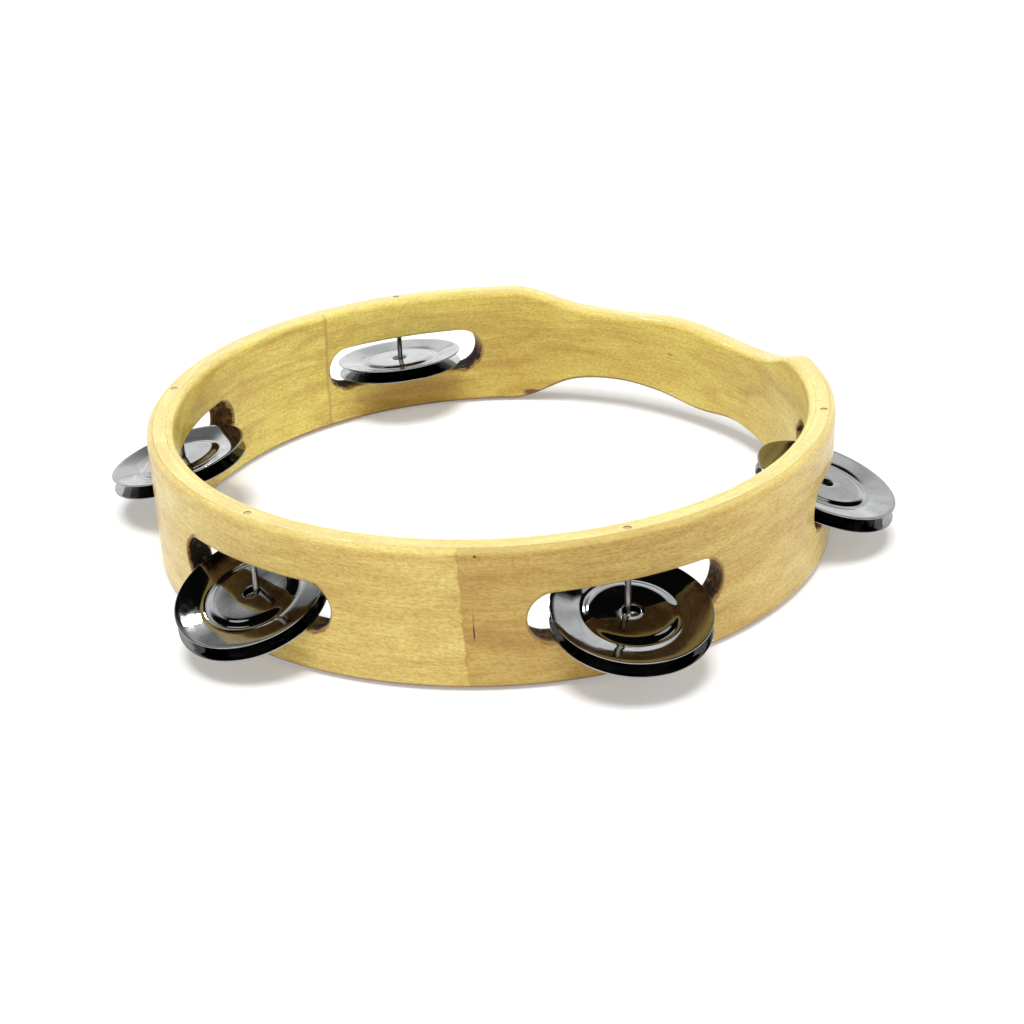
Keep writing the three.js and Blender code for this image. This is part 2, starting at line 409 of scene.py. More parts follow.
def scorched_wood():
    """The slots' cut walls: from clean wood through brown to burnt black, tanner at the faces."""
    material, shader, graph = new_material("scorched_maple")
    grain = graph.attribute("grain")
    burn = graph.attribute("burn", "Fac")
    radius = graph.split(grain)[2]
    patches = graph.noise(graph.cells(grain, 4.0, 2.6, 2.4), detail=4, roughness=0.6)
    uneven = graph.maths("MULTIPLY", graph.maths("SUBTRACT", patches, 0.5), 0.005)
    shifted = graph.maths("ADD", radius, uneven)
    from_outside = graph.remap(shifted, 0.0998, 0.1014)
    from_inside = graph.remap(shifted, 0.0953, 0.0937)
    near_face = graph.maths("MAXIMUM", from_outside, from_inside)
    sawn = graph.ramp(near_face, ((0.0, (0.36, 0.18, 0.055)), (1.0, (0.52, 0.36, 0.13))))
    burnt = graph.ramp(
        near_face,
        (
            (0.0, (0.004, 0.003, 0.002)),
            (0.5, (0.020, 0.009, 0.004)),
            (0.85, (0.14, 0.06, 0.018)),
            (1.0, (0.40, 0.25, 0.09)),
        ),
    )
    charred = graph.maths("MULTIPLY", burn, graph.remap(patches, 0.38, 0.56, 0.72, 1.15))
    clean = graph.mix(graph.remap(charred, 0.05, 0.35), (0.64, 0.49, 0.17), sawn)
    colour = graph.mix(graph.remap(charred, 0.30, 1.0), clean, burnt)
    saw = graph.noise(graph.cells(grain, 0.5, 0.5, 7), detail=3, roughness=0.6)
    share = graph.remap(saw, 0.35, 0.7, 0.0, 0.5)
    colour = graph.mix(share, colour, (0.50, 0.38, 0.26), "MULTIPLY")
    graph.feed(shader.inputs["Base Color"], colour)
    shader.inputs["Roughness"].default_value = 0.6
    shader.inputs["Specular IOR Level"].default_value = 0.12
    graph.feed(shader.inputs["Normal"], graph.bump(saw, 0.1))
    return material


# ---------------------------------------------------------------- metal


def from_axis(graph, point):
    """A turned piece's distance from its own axis."""
    x, y, z = graph.split(point)
    squared = graph.maths("ADD", graph.maths("MULTIPLY", x, x), graph.maths("MULTIPLY", y, y))
    return graph.maths("SQRT", squared)


def jingle_metal():
    """Dark nickel plate over pressed steel: spun rings, smudges and small scratches.

    The sides that face the other jingle of the pair are painted darker, as shade between the two,
    and painted near-black round the hole, as shade.
    """
    material, shader, graph = new_material("jingle_nickel")
    point = graph.attribute("turning")
    radius = from_axis(graph, point)
    spun = graph.cells(graph.join(radius, 0.0, 0.0), 0.22, 1, 1)
    rings = graph.noise(spun, detail=3, roughness=0.6)
    finger = graph.cells(point, 5.5, 5.5, 5.5)
    smudges = graph.noise(finger, detail=4, roughness=0.6, distortion=0.8)
    specks = graph.noise(graph.cells(point, 0.7, 0.7, 0.7), detail=2)
    tones = (
        (0.3, (0.265, 0.265, 0.255)),
        (0.55, (0.31, 0.315, 0.315)),
        (0.75, (0.285, 0.28, 0.27)),
    )
    colour = graph.ramp(smudges, tones)
    colour = graph.mix(graph.remap(specks, 0.70, 0.80, 0.0, 0.5), colour, (0.14, 0.13, 0.12))
    facing_in = graph.attribute("facing_in", "Fac")
    # Painted shade: the sides facing the other jingle are mixed darker.
    colour = graph.mix(graph.maths("MULTIPLY", facing_in, 0.4), colour, (0.10, 0.10, 0.105))
    round_hole = graph.remap(radius, 0.0045, 0.0065, 1.0, 0.0)
    painted_hole_shade = graph.maths("MULTIPLY", facing_in, round_hole)
    # Painted shade: near-black round the hole on the sides facing the other jingle.
    colour = graph.mix(painted_hole_shade, colour, (0.012, 0.011, 0.010))
    graph.feed(shader.inputs["Base Color"], colour)
    shader.inputs["Metallic"].default_value = 1.0
    dull = graph.remap(smudges, 0.35, 0.72, 0.035, 0.085)
    dull = graph.maths("ADD", dull, graph.maths("MULTIPLY", painted_hole_shade, 0.5))
    graph.feed(shader.inputs["Roughness"], dull)
    relief = graph.maths("ADD", graph.maths("MULTIPLY", rings, 0.10), smudges)
    graph.feed(shader.inputs["Normal"], graph.bump(relief, 0.012))
    return material


def nail_metal():
    """Drawn steel wire, grey with a little brown where it has rubbed."""
    material, shader, graph = new_material("nail_wire")
    point = graph.attribute("turning")
    stains_and_painted_shade = graph.noise(graph.cells(point, 1.2, 1.2, 3.0), detail=3, roughness=0.6)
    tones = (
        (0.35, (0.42, 0.41, 0.38)),
        (0.6, (0.30, 0.28, 0.25)),
        (0.75, (0.16, 0.12, 0.08)),
    )
    graph.feed(shader.inputs["Base Color"], graph.ramp(stains_and_painted_shade, tones))
    shader.inputs["Metallic"].default_value = 1.0
    graph.feed(shader.inputs["Roughness"], graph.remap(stains_and_painted_shade, 0.35, 0.7, 0.16, 0.32))
    drawn = graph.noise(graph.cells(point, 0.25, 0.25, 6), detail=2)
    graph.feed(shader.inputs["Normal"], graph.bump(drawn, 0.02))
    return material


def head_metal():
    """The nails' heads, dulled by the lacquer brushed over them."""
    material, shader, graph = new_material("nail_head")
    point = graph.attribute("turning")
    stains_and_painted_shade = graph.noise(graph.cells(point, 0.8, 0.8, 0.8), detail=3, roughness=0.6)
    colour = graph.ramp(stains_and_painted_shade, ((0.35, (0.70, 0.58, 0.27)), (0.7, (0.50, 0.40, 0.18))))
    graph.feed(shader.inputs["Base Color"], colour)
    shader.inputs["Metallic"].default_value = 0.1
    shader.inputs["Roughness"].default_value = 0.5
    graph.feed(shader.inputs["Normal"], graph.bump(stains_and_painted_shade, 0.04))
    return material


# ---------------------------------------------------------------- hoop


def smooth_through(points, x):
    """A smooth curve through a few points, flat at both ends and zero beyond them."""
    if not points[0][0] <= x < points[-1][0]:
        return 0.0
    last = len(points) - 1
    nxt = next(i for i, (px, _) in enumerate(points) if px > x)

    def slope(i):
        if i in (0, last):
            return 0.0
        return (points[i + 1][1] - points[i - 1][1]) / (points[i + 1][0] - points[i - 1][0])

    (x0, y0), (x1, y1) = points[nxt - 1], points[nxt]
    span = x1 - x0
    t = (x - x0) / span
    return (
        y0 * (1 + 2 * t) * (1 - t) ** 2
        + y1 * t * t * (3 - 2 * t)
        + span * t * (1 - t) * (slope(nxt - 1) * (1 - t) - slope(nxt) * t)
    )


def wrapped(angle):
    return (angle + 180) % 360 - 180


def edge_fall(radius):
    """How far the rounding has come off the flat of an edge at this radius."""
    beyond = max(
        EDGE_ROUND - (HOOP_RADIUS - radius), EDGE_ROUND - (radius - HOOP_INSIDE), 0.0
    )
    return EDGE_ROUND - math.sqrt(max(EDGE_ROUND**2 - beyond**2, 0.0))


def slot_ease(radius):
    """How much wider the eased slot is at this radius."""
    depth = min(HOOP_RADIUS - radius, radius - HOOP_INSIDE)
    beyond = max(SLOT_EASE - depth, 0.0)
    return SLOT_EASE - math.sqrt(SLOT_EASE**2 - beyond**2)


def ply_radii(inside, outside):
    """The radii at which a ply's section has its points: close together on the rounded corners."""
    steps = [EDGE_ROUND * (1 - math.sin(math.radians(turn))) for turn in ROUNDING_TURNS]
    rounded = [HOOP_RADIUS - s for s in steps] + [HOOP_INSIDE + s for s in steps]
    kept = [r for r in rounded if inside + 0.05 < r < outside - 0.05]
    return sorted([inside, outside, *kept])


class PlyBuilder:
    """Lofts one ply round the hoop, column by column, with the slots left open."""

    def __init__(self, inside, outside, seam):
        self.radii = ply_radii(inside, outside)
        self.seam = seam
        self.mesh = bmesh.new()
        self.columns = []

    def vertex(self, radius, angle, height):
        turn = math.radians(angle)
        return self.mesh.verts.new(
            (radius * math.cos(turn) * MM, radius * math.sin(turn) * MM, height * MM)
        )

    def seam_lean(self, angle, which):
        from_start = angle - self.seam["angle"]
        near = 1 - min(from_start, 360 - from_start) / SEAM_BLEND
        return self.seam[which] * max(near, 0.0)

    def edge_row(self, angle_at, upper):
        row = []
        for radius in self.radii:
            angle = angle_at(radius)
            if upper:
                height = HOOP_HEIGHT - smooth_through(GRIP_TOP, wrapped(angle)) - edge_fall(radius)
            else:
                height = smooth_through(GRIP_BOTTOM, wrapped(angle)) + edge_fall(radius)
            lean = self.seam_lean(angle, "lean_high" if upper else "lean_low")
            row.append(self.vertex(radius, angle + lean, height))
        return row

    def middle(self, radius, angle_at):
        return self.vertex(radius, angle_at(radius), SLOT_MIDDLE)

    def column(self, angle_at, rise_at=None):
        """Adds a column. rise_at gives half the slot's height there, and is None off the slots."""
        low = self.edge_row(angle_at, upper=False)
        high = self.edge_row(angle_at, upper=True)
        in_slot = rise_at is not None
        if not in_slot:
            faces = (self.radii[0], self.radii[-1])
            sill = [self.middle(r, angle_at) if r in faces else None for r in self.radii]
            lintel = sill
        elif rise_at(self.radii[0]) < NO_RISE:
            sill = [self.middle(r, angle_at) for r in self.radii]
            lintel = sill
        else:
            sill = [self.vertex(r, angle_at(r), SLOT_MIDDLE - rise_at(r)) for r in self.radii]
            lintel = [self.vertex(r, angle_at(r), SLOT_MIDDLE + rise_at(r)) for r in self.radii]
        self.columns.append((low, sill, lintel, high, in_slot))

    def plain_columns(self, start, end):
        count = max(1, round((end - start) / COLUMN_STEP))
        for i in range(1, count):
            angle = start + (end - start) * i / count
            self.column(lambda radius, angle=angle: angle)

    def slot_columns(self, centre):
        """The columns across one slot, close together round its ends."""

        def add(offset, rise):
            self.column(
                lambda r: centre + math.degrees(math.asin(offset(SLOT_RADIUS + slot_ease(r)) / r)),
                lambda r: rise(SLOT_RADIUS + slot_ease(r)),
            )

        def add_on_arc(side, turn):
            across, up = math.cos(turn), math.sin(turn)
            add(lambda size: side * (SLOT_REACH + size * across), lambda size: size * up)

        turns = [math.pi / 2 * i / SLOT_ARC_STEPS for i in range(SLOT_ARC_STEPS + 1)]
        for turn in turns:
            add_on_arc(-1, turn)
        for i in range(1, SLOT_STRAIGHT_STEPS):
            along = SLOT_REACH * (2 * i / SLOT_STRAIGHT_STEPS - 1)
            add(lambda size, along=along: along, lambda size: size)
        for turn in reversed(turns):
            add_on_arc(1, turn)

    def loft(self):
        start = self.seam["angle"] + SEAM_WIDTH / 2
        end = self.seam["angle"] + 360 - SEAM_WIDTH / 2
        self.column(lambda radius: start)
        reached = start
        centres = sorted(start + (pair["angle"] - start) % 360 for pair in PAIRS)
        widest = SLOT_LENGTH / 2 + SLOT_EASE
        for centre in centres:
            half = math.degrees(math.asin(widest / self.radii[0]))
            self.plain_columns(reached, centre - half)
            self.slot_columns(centre)
            reached = centre + half
        self.plain_columns(reached, end)
        self.column(lambda radius: end)
        self.skin()

    def strip(self, row_a, row_b, material=PLY_FACE):
        for j in range(len(row_a) - 1):
            self.face((row_a[j], row_a[j + 1], row_b[j + 1], row_b[j]), material)

    def face(self, corners, material=PLY_FACE):
        distinct = list(dict.fromkeys(corners))
        if len(distinct) > 2:
            made = self.mesh.faces.new(distinct)
            made.material_index = material
            made.smooth = True

    def wall(self, a, b, lower, upper):
        """The ply's two faces between two rows of its columns."""
        for j in (0, -1):
            self.face((a[lower][j], a[upper][j], b[upper][j], b[lower][j]))

    def skin(self):
        low, sill, lintel, high, in_slot = range(5)
        for a, b in zip(self.columns, self.columns[1:]):
            self.strip(a[low], b[low])
            self.strip(a[high], b[high])
            self.wall(a, b, low, sill)
            self.wall(a, b, lintel, high)
            if a[in_slot] and b[in_slot]:
                self.strip(a[sill], b[sill], SLOT_WALL)
                self.strip(a[lintel], b[lintel], SLOT_WALL)
        for column in (self.columns[0], self.columns[-1]):
            outline = [*column[low], column[sill][-1], *reversed(column[high]), column[sill][0]]
            self.face(outline)
        bmesh.ops.recalc_face_normals(self.mesh, faces=self.mesh.faces)

    def finish(self, name):
        data = bpy.data.meshes.new(name)
        self.mesh.to_mesh(data)
        self.mesh.free()
        made = bpy.data.objects.new(name, data)
        bpy.context.scene.collection.objects.link(made)
        return made


def lay_grain(mesh, seam):
    """Stores each point's place in its ply: distance round from the seam, height and radius."""
    values = []
    for vertex in mesh.vertices:
        x, y, z = vertex.co
        if z < LOW_EDGE * MM:
            lean = seam["lean_low"]
        elif z > HIGH_EDGE * MM:
            lean = seam["lean_high"]
        else:
            lean = 0.0
        around = (math.degrees(math.atan2(y, x)) - seam["angle"] - lean) % 360
        values += [math.radians(around) * HOOP_RADIUS * MM, z, math.hypot(x, y)]
    layer = mesh.attributes.new("grain", "FLOAT_VECTOR", "POINT")
    layer.data.foreach_set("vector", values)
    burns = [burn_at(*vertex.co) for vertex in mesh.vertices]
    layer = mesh.attributes.new("burn", "FLOAT", "POINT")
    layer.data.foreach_set("value", burns)
    gaps = [gap_to_slot(*vertex.co) for vertex in mesh.vertices]
    layer = mesh.attributes.new("from_slot", "FLOAT", "POINT")
    layer.data.foreach_set("value", gaps)


def gap_to_slot(x, y, z):
    """How far outside the nearest slot's outline a point of a face lies."""
    angle = math.degrees(math.atan2(y, x))
    away = min(abs(wrapped(angle - pair["angle"])) for pair in PAIRS)
    beyond = max(math.radians(away) * math.hypot(x, y) / MM - SLOT_REACH, 0.0)
    return max(math.hypot(beyond, z / MM - SLOT_MIDDLE) - SLOT_RADIUS - SLOT_EASE, 0.0) * MM


def burn_at(x, y, z):
    """How burnt a slot's wall is: little along its straight middle, and more or less at its ends."""
    angle = math.degrees(math.atan2(y, x))
    away, (low, high) = min((abs(wrapped(angle - pair["angle"])), pair["burn"]) for pair in PAIRS)
    upward = min(max((z / MM - SLOT_MIDDLE + 0.6 * BURN_RISE) / BURN_RISE, 0.0), 1.0)
    burn = low + (high - low) * upward
    along = math.radians(away) * NAIL_CIRCLE
    share = min(max((along - SLOT_REACH + BURN_RUN / 2) / BURN_RUN, 0.0), 1.0)
    return SILL_BURN + (burn - SILL_BURN) * share * share * (3 - 2 * share)


def even_normals(piece, sharp_degrees):
    """Smooth shading that keeps the big faces even and the true corners sharp."""
    piece.data.set_sharp_from_angle(angle=math.radians(sharp_degrees))
    weighted = piece.modifiers.new("weighted", "WEIGHTED_NORMAL")
    weighted.keep_sharp = True


def arc_from_seam(angle, seam):
    """Distance round from a ply's seam to an angle, in millimetres."""
    return math.radians((angle - seam["angle"]) % 360) * HOOP_RADIUS


def make_ply(name, node, inside, outside, seam, materials):
    builder = PlyBuilder(inside, outside, seam)
    builder.loft()
    piece = builder.finish(name)
    for material in materials:
        piece.data.materials.append(material)
    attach(piece, "frame")
    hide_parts(node)
    return piece


# ---------------------------------------------------------------- turned pieces


def filleted(points, reach, steps=5):
    """The line with each corner rounded off over the given reach."""
    line = [Vector(points[0])]
    for before, corner, after in zip(points, points[1:], points[2:]):
        before, corner, after = Vector(before), Vector(corner), Vector(after)
        back, on = before - corner, after - corner
        cut = min(reach, back.length * 0.48, on.length * 0.48)
        start, end = corner + back.normalized() * cut, corner + on.normalized() * cut
        for i in range(steps + 1):
            t = i / steps
            line.append(start * (1 - t) ** 2 + corner * 2 * t * (1 - t) + end * t * t)
    line.append(Vector(points[-1]))
    return line


def normal_at(line, i):
    ahead = line[min(i + 1, len(line) - 1)] - line[max(i - 1, 0)]
    return Vector((-ahead.y, ahead.x)).normalized()


def sheet_outline(line, thickness, cap_steps=5):
    """The closed outline of a sheet whose middle is the line, with round edges."""
    half = thickness / 2
    top = [p + normal_at(line, i) * half for i, p in enumerate(line)]
    bottom = [p - normal_at(line, i) * half for i, p in enumerate(line)]

    def cap(centre, start, end):
        a, b = start - centre, end - centre
        outward = Vector((a.y, -a.x))
        turns = [math.pi * i / cap_steps for i in range(1, cap_steps)]
        return [centre + a * math.cos(t) + outward * math.sin(t) for t in turns]

    far = cap(line[-1], top[-1], bottom[-1])
    near = cap(line[0], bottom[0], top[0])
    return [*top, *far, *reversed(bottom), *near]


def turned(name, outline, segments, closed, wobble=None, shades=None):
    """Turns an outline of (radius, height) points round Z. An open one starts and ends on the axis.

    shades gives each outline point's value of the facing_in attribute.
    """
    mesh = bmesh.new()
    rings = []
    for radius, height in outline:
        if radius < 1e-6:
            rings.append([mesh.verts.new((0, 0, height * MM))])
            continue
        ring = []
        for i in range(segments):
            turn = 2 * math.pi * i / segments
            x, y = radius * math.cos(turn), radius * math.sin(turn)
            lift = wobble(x, y) if wobble else 0.0
            ring.append(mesh.verts.new((x * MM, y * MM, (height + lift) * MM)))
        rings.append(ring)
    pairs = list(zip(rings, rings[1:]))
    if closed:
        pairs.append((rings[-1], rings[0]))
    for a, b in pairs:
        for i in range(segments):
            j = (i + 1) % segments
            corners = (a[i % len(a)], a[j % len(a)], b[j % len(b)], b[i % len(b)])
            made = mesh.faces.new(list(dict.fromkeys(corners)))
            made.smooth = True
    bmesh.ops.recalc_face_normals(mesh, faces=mesh.faces)
    data = bpy.data.meshes.new(name)
    mesh.to_mesh(data)
    mesh.free()
    if shades:
        values = [shade for shade, ring in zip(shades, rings) for _ in range(segments)]
        data.attributes.new("facing_in", "FLOAT", "POINT").data.foreach_set("value", values)
    made = bpy.data.objects.new(name, data)
    bpy.context.scene.collection.objects.link(made)
    return made


def set_down(piece, matrix):
    """Puts a turned piece in place, and keeps each point's place on the lathe for its material."""
    values = [value for vertex in piece.data.vertices for value in vertex.co]
    layer = piece.data.attributes.new("turning", "FLOAT_VECTOR", "POINT")
    layer.data.foreach_set("vector", values)
    piece.data.transform(matrix)


def pressing_wobble(seed):
    """The slight waviness of a pressed flange, nothing at its ridge and inside it."""

    def lift(x, y):
        share = min(max((math.hypot(x, y) - FLANGE_START) / WAVE_GROWTH, 0.0), 1.0)
        wave = noise.noise(Vector((x / WAVE_LENGTH, y / WAVE_LENGTH, seed * 7.3)))
        return WAVE_HEIGHT * wave * share

    return lift


def make_jingle(pair, level, facing, above_lower_rim, seed, material):
    line = filleted([(r, facing * z) for r, z in JINGLE_SECTION], JINGLE_FILLET)
    outline = sheet_outline(line, SHEET)
    name = f"cymbal_{pair['name']}_{level}"
    count = len(line)
    rims = (len(outline) - 2 * count) // 2
    above, below = (0.0, 1.0) if facing > 0 else (1.0, 0.0)
    shades = [above] * count + [0.0] * rims + [below] * count + [0.0] * rims
    wobble = pressing_wobble(seed)
    piece = turned(name, outline, JINGLE_SEGMENTS, closed=True, wobble=wobble, shades=shades)
    lean, roll = math.radians(pair["lean"]), math.radians(pair["roll"])
    stretch = 1 / math.cos(lean)
    lower_rim = (
        SLOT_BOTTOM
        + REST_GAP
        + CAD_SHEET / 2 * stretch
        + (HOOP_RADIUS - NAIL_CIRCLE) * math.tan(lean)
        + JINGLE_RADIUS * math.tan(abs(roll))
    )
    height = lower_rim + above_lower_rim * stretch
    set_down(
        piece,
        Matrix.Rotation(math.radians(pair["angle"]), 4, "Z")
        @ Matrix.Translation(Vector((NAIL_CIRCLE, 0, height)) * MM)
        @ Matrix.Rotation(roll, 4, "X")
        @ Matrix.Rotation(lean, 4, "Y")
        @ Matrix.Translation(Vector((pair["out"], pair["along"], facing * DISC_DEPTH)) * MM)
        @ Matrix.Rotation(seed * 2.4, 4, "Z"),
    )
    piece.data.materials.append(material)
    even_normals(piece, 50)
    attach(piece, f"jingle_{pair['name']}_{level}")
    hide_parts(f"jingle_{pair['name']}_{level}")


def at_nail(pair):
    """Where a pair's nail stands."""
    around = Matrix.Rotation(math.radians(pair["angle"]), 4, "Z")
    return around @ Matrix.Translation(Vector((NAIL_CIRCLE, 0, 0)) * MM)


def make_nail(pair, materials):
    outline = filleted(
        [
            (0, NAIL_TIP),
            (NAIL_RADIUS, NAIL_TIP + 2),
            (NAIL_RADIUS, NAIL_HEAD_BOTTOM - 0.5),
            (NAIL_HEAD_RADIUS, NAIL_HEAD_BOTTOM),
            (NAIL_HEAD_RADIUS, NAIL_HEAD_TOP),
            (NAIL_HEAD_RADIUS * 0.45, NAIL_HEAD_TOP - 0.08),
            (0, NAIL_HEAD_TOP - 0.16),
        ],
        0.16,
        3,
    )
    piece = turned(f"nail_{pair['name']}", outline, NAIL_FACETS, closed=False)
    set_down(piece, at_nail(pair))
    for material in materials:
        piece.data.materials.append(material)
    for polygon in piece.data.polygons:
        polygon.material_index = int(polygon.center.z > (NAIL_HEAD_BOTTOM + 0.2) * MM)
    even_normals(piece, 40)
    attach(piece, "frame")
    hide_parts(f"pin_{pair['name']}")


def bore_nail_holes(ply):
    """Cuts each nail's hole, with a seat for its head, down through the core ply.

    The drill is turned by half a facet, so that none of its edges falls on an edge of the ply.
    """
    seat = NAIL_HEAD_BOTTOM - 0.15
    outline = [
        (0, NAIL_TIP - 0.1),
        (NAIL_HOLE_RADIUS, NAIL_TIP - 0.1),
        (NAIL_HOLE_RADIUS, seat),
        (NAIL_SEAT_RADIUS, seat),
        (NAIL_SEAT_RADIUS, HOOP_HEIGHT + 1),
        (0, HOOP_HEIGHT + 1),
    ]
    for pair in PAIRS:
        drill = turned("drill", outline, NAIL_FACETS, closed=False)
        half_facet = Matrix.Rotation(math.pi / NAIL_FACETS, 4, "Z")
        drill.data.transform(at_nail(pair) @ half_facet)
        for polygon in drill.data.polygons:
            polygon.material_index = SLOT_WALL
        cut = ply.modifiers.new("hole", "BOOLEAN")
        cut.operation = "DIFFERENCE"
        cut.solver = "EXACT"
        cut.material_mode = "INDEX"
        cut.object = drill
        bpy.context.view_layer.update()
        bored = bpy.data.meshes.new_from_object(
            ply.evaluated_get(bpy.context.evaluated_depsgraph_get())
        )
        ply.modifiers.clear()
        ply.data = bored
        bpy.data.objects.remove(drill)


# ---------------------------------------------------------------- setting

# In metres: the floor, how far off the lights stand, and the height they are aimed at.
FLOOR_RADIUS = 6
FLOOR_GAP = 0.0003
LIGHT_DISTANCE = 1.2
AIM_HEIGHT = 0.02

# What glossy rays meet: white sheets, brighter in front, and the dark studio round them.
SHEET_SHADE = (0.99, 1.0, 1.01)
SHEET_WHITE = (1.58, 1.59, 1.60)
FRONT_WHITE = (2.4, 2.4, 2.4)
STUDIO_DARK = (0.006, 0.0055, 0.005)

# What diffuse rays meet, all round.
AMBIENT = (0.22, 0.215, 0.205)

# The camera: where it stands in metres, and how it is turned from facing the hoop's centre.
EYE = (0, -0.48838, 0.23936)
YAW = -0.0092
PITCH = 0.0017
ROLL = 0.0456
FOCAL_LENGTH = 62.01


def make_floor():
    bpy.ops.mesh.primitive_circle_add(
        vertices=96, radius=FLOOR_RADIUS, fill_type="NGON", location=(0, 0, -FLOOR_GAP)
    )
    floor = bpy.context.object
    floor.name = "floor"
    material, shader, graph = new_material("floor_white")
    shader.inputs["Base Color"].default_value = (0.76, 0.76, 0.76, 1)
    shader.inputs["Roughness"].default_value = 0.9
    shader.inputs["Specular IOR Level"].default_value = 0.0
    shader.inputs["Emission Color"].default_value = (1, 1, 1, 1)
    shader.inputs["Emission Strength"].default_value = 0.28
    floor.data.materials.append(material)


def studio_dark(graph, direction):
    """Where glossy rays meet darkness: overhead, at the sides, and at a gap in the sheet behind."""
    x, y, z = graph.split(direction)
    level = graph.maths("SQRT", graph.maths("SUBTRACT", 1.0, graph.maths("MULTIPLY", z, z)))
    rightward = graph.maths("DIVIDE", x, level)
    right = graph.remap(rightward, 0.66, 0.78)
    left = graph.remap(rightward, -0.82, -0.93)
    sides = graph.maths("MAXIMUM", right, left)
    beside = graph.maths("MULTIPLY", sides, graph.remap(z, 0.10, 0.20))
    dark = graph.maths("MAXIMUM", graph.remap(z, 0.68, 0.75), beside)
    from_gap = graph.node("ShaderNodeVectorMath", operation="DISTANCE")
    graph.feed(from_gap.inputs[0], direction)
    from_gap.inputs[1].default_value = towards(-152, 31)
    gap = graph.remap(from_gap.outputs["Value"], 0.13, 0.30, 0.72, 0.0)
    return graph.maths("MAXIMUM", dark, gap)


def white_sheets(graph, direction):
    """The sheets that glossy rays meet low down: softly folded, and brighter low in front."""
    x, y, z = graph.split(direction)
    folds = graph.noise(graph.cells(direction, 300, 900, 260), detail=2, distortion=0.6)
    white = graph.ramp(folds, ((0.35, SHEET_SHADE), (0.60, SHEET_WHITE)))
    front = graph.maths("MULTIPLY", graph.remap(y, 0.0, -0.3), graph.remap(z, 0.45, 0.25))
    return graph.mix(front, white, FRONT_WHITE)


def make_world():
    """A studio for the metal to reflect, an even grey to light the rest, and white seen directly."""
    world = bpy.data.worlds.new("studio")
    bpy.context.scene.world = world
    world.use_nodes = True
    graph = Graph(world.node_tree)
    background = world.node_tree.nodes["Background"]
    direction = graph.node("ShaderNodeTexCoord").outputs["Generated"]
    dark = studio_dark(graph, direction)
    surround = graph.mix(dark, white_sheets(graph, direction), STUDIO_DARK)
    rays = graph.node("ShaderNodeLightPath").outputs
    softened = graph.mix(rays["Is Diffuse Ray"], surround, AMBIENT)
    seen = graph.mix(rays["Is Camera Ray"], softened, (1.0, 1.0, 1.0))
    graph.feed(background.inputs["Color"], seen)
    background.inputs["Strength"].default_value = 1.0


def towards(azimuth, elevation):
    """Unit direction to a light. Azimuth 0 is in front, on the -Y side, and 90 to the right."""
    a, e = math.radians(azimuth), math.radians(elevation)
    return Vector((math.sin(a) * math.cos(e), -math.cos(a) * math.cos(e), math.sin(e)))


def softbox(name, azimuth, elevation, width, height, watts, glossy):
    """An area light aimed at the hoop. It shows in metal and gloss, or else it lights the wood."""
    data = bpy.data.lights.new(name, "AREA")
    data.shape = "ELLIPSE"
    data.size = width
    data.size_y = height
    data.energy = watts
    light = bpy.data.objects.new(name, data)
    bpy.context.scene.collection.objects.link(light)
    away = towards(azimuth, elevation)
    light.location = away * LIGHT_DISTANCE + Vector((0, 0, AIM_HEIGHT))
    light.rotation_mode = "QUATERNION"
    light.rotation_quaternion = away.to_track_quat("Z", "Y")
    light.visible_glossy = glossy
    light.visible_diffuse = not glossy
    light.visible_camera = False


def overhead(azimuth, elevation, strength, spread):
    """Even light from a wide source above, which falls on the whole floor alike."""
    data = bpy.data.lights.new("overhead", "SUN")
    data.energy = strength
    data.angle = math.radians(spread)
    light = bpy.data.objects.new("overhead", data)
    bpy.context.scene.collection.objects.link(light)
    light.rotation_mode = "QUATERNION"
    light.rotation_quaternion = towards(azimuth, elevation).to_track_quat("Z", "Y")
    light.visible_glossy = False


def make_lights():
    overhead(azimuth=-12, elevation=82, strength=2.9, spread=30)
    softbox("front_low", -8, 6, width=0.8, height=0.15, watts=1.1, glossy=False)
    softbox("left_side", -80, 28, width=0.7, height=0.7, watts=1.15, glossy=False)
    softbox("right_side", 85, 32, width=0.6, height=0.6, watts=1.7, glossy=False)
    softbox("lamp", -158, 49, width=0.12, height=0.12, watts=3.2, glossy=True)
    softbox("left_panel", -100, 52, width=0.30, height=0.26, watts=0.2, glossy=True)
    softbox("right_panel", 116, 56, width=0.26, height=0.34, watts=0.2, glossy=True)


def make_camera():
    """Looks down on the front of the hoop, with a slight turn of the frame."""
    data = bpy.data.cameras.new("camera")
    data.sensor_width = 36
    data.lens = FOCAL_LENGTH
    data.clip_start = 0.01
    data.clip_end = 50
    camera = bpy.data.objects.new("camera", data)
    bpy.context.scene.collection.objects.link(camera)
    eye = Vector(EYE)
    forward = (-eye).normalized()
    right = forward.cross(Vector((0, 0, 1))).normalized()
    up = right.cross(forward)
    yaw = Matrix.Rotation(YAW, 3, up)
    forward, right = yaw @ forward, yaw @ right
    pitch = Matrix.Rotation(PITCH, 3, right)
    forward, up = pitch @ forward, pitch @ up
    roll = Matrix.Rotation(ROLL, 3, forward)
    right, up = roll @ right, roll @ up
    axes = Matrix((right, up, -forward)).transposed()
    camera.matrix_world = Matrix.Translation(eye) @ axes.to_4x4()
    bpy.context.scene.camera = camera


# ---------------------------------------------------------------- the tambourine

FACE_TONES = ((0.69, 0.52, 0.145), (0.81, 0.655, 0.20), (0.89, 0.76, 0.26))
INNER_TONES = ((0.755, 0.60, 0.14), (0.905, 0.765, 0.18), (0.97, 0.87, 0.23))
CORE_TONES = ((0.76, 0.59, 0.17), (0.86, 0.71, 0.23), (0.93, 0.81, 0.29))
BROWN = (0.16, 0.07, 0.025)
BLACK = (0.02, 0.014, 0.01)


